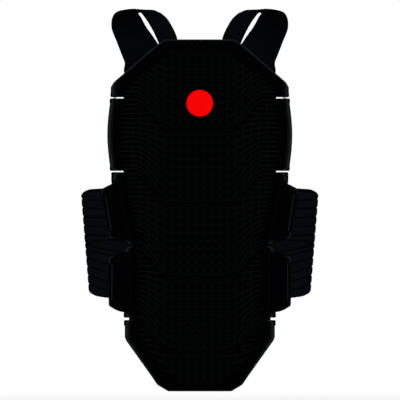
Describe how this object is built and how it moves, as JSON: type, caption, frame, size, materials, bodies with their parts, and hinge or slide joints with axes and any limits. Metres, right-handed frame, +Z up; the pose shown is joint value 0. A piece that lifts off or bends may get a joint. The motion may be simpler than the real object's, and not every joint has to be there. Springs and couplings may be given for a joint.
{
  "type": "articulated back protector",
  "caption": "Articulated back protector: hinged perforated plates in a column, with shoulder strap loops and an elastic waist belt that closes at the front.",
  "frame": {"origin": "middle of the top plate's pad, on the wearer's side", "axes": "+X to the viewer's right seen from behind the wearer, +Y from the outer face towards the wearer, +Z up"},
  "size_m": [0.3366, 0.2664, 0.5452],
  "materials": {
    "shell": "satin moulded",
    "core": "matt foam",
    "tray": "satin moulded",
    "pad": "mesh cloth over foam",
    "steel": "plain",
    "badge": "gloss",
    "strap": "woven",
    "rail": "black",
    "slider": "moulded",
    "tab": "coated cloth",
    "band": "ribbed elastic",
    "gusset": "knitted",
    "hook": "hook tape",
    "loop": "loop tape"
  },
  "bodies": {
    "back_top": {"shell_top": "shell", "core_top": "core", "tray_top": "tray", "pad_top": "pad", "hinge_pin_1": "steel", "badge": "badge", "strap_rail_left": "rail", "strap_rail_right": "rail"},
    "back_upper": {"shell_upper": "shell", "core_upper": "core", "tray_upper": "tray", "pad_upper": "pad", "hinge_pin_2": "steel"},
    "back_middle": {"shell_middle": "shell", "core_middle": "core", "tray_middle": "tray", "pad_middle": "pad", "hinge_pin_3": "steel", "tab_middle_left": "tab", "tab_middle_right": "tab", "tab_rivets_middle": "steel", "band_upper_left": "band", "band_upper_right": "band", "gusset_left": "gusset", "gusset_right": "gusset"},
    "back_lower": {"shell_lower": "shell", "core_lower": "core", "tray_lower": "tray", "pad_lower": "pad", "hinge_pin_4": "steel", "tab_lower_left": "tab", "tab_lower_right": "tab", "tab_rivets_lower": "steel", "band_lower_left": "band", "band_lower_right": "band"},
    "back_tail": {"shell_tail": "shell", "core_tail": "core", "tray_tail": "tray", "pad_tail": "pad"},
    "belt_left": {"front_panel_left": "band", "hook_patch": "hook"},
    "belt_right": {"front_panel_right": "band", "loop_patch": "loop"},
    "strap_left": {"strap_left": "strap"},
    "strap_right": {"strap_right": "strap"},
    "slider_left": {"strap_slider_left": "slider"},
    "slider_right": {"strap_slider_right": "slider"}
  },
  "joints": [
    {"name": "spine_top", "type": "hinge", "parent": "back_top", "child": "back_upper", "pos_m": [0, -0.00596, -0.038], "axis": [1, 0, 0], "range_deg": [-2, 12]},
    {"name": "spine_upper", "type": "hinge", "parent": "back_upper", "child": "back_middle", "pos_m": [0, -0.00596, -0.143], "axis": [1, 0, 0], "range_deg": [-2, 12]},
    {"name": "spine_middle", "type": "hinge", "parent": "back_middle", "child": "back_lower", "pos_m": [0, -0.00596, -0.248], "axis": [1, 0, 0], "range_deg": [-2, 12], "deforming": ["band_lower_left", "band_lower_right", "gusset_left", "gusset_right"]},
    {"name": "spine_lower", "type": "hinge", "parent": "back_lower", "child": "back_tail", "pos_m": [0, -0.00596, -0.353], "axis": [1, 0, 0], "range_deg": [-2, 12]},
    {"name": "belt_left_open", "type": "hinge", "parent": "back_middle", "child": "belt_left", "pos_m": [-0.169, 0.11444, -0.167], "axis": [-0.0797, 0, 0.9968], "range_deg": [0, 100]},
    {"name": "belt_right_open", "type": "hinge", "parent": "back_middle", "child": "belt_right", "pos_m": [0.169, 0.11444, -0.167], "axis": [0.0797, 0, 0.9968], "range_deg": [-100, 0]},
    {"name": "strap_left_swing", "type": "hinge", "parent": "back_top", "child": "strap_left", "pos_m": [-0.031, -0.00185, 0.034], "axis": [-0.7558, 0.1045, -0.6464], "range_deg": [-4, 25]},
    {"name": "strap_right_swing", "type": "hinge", "parent": "back_top", "child": "strap_right", "pos_m": [0.031, -0.00185, 0.034], "axis": [-0.7558, -0.1045, 0.6464], "range_deg": [-4, 25]},
    {"name": "slider_left_slide", "type": "slide", "parent": "strap_left", "child": "slider_left", "axis": [-0.0856, -0.9698, -0.2282], "range_m": [-0.008, 0.008]},
    {"name": "slider_right_slide", "type": "slide", "parent": "strap_right", "child": "slider_right", "axis": [0.0856, -0.9698, -0.2282], "range_m": [-0.008, 0.008]}
  ],
  "couplings": [
    {"joint": "belt_right_open", "follows": "belt_left_open", "ratio": -1}
  ]
}
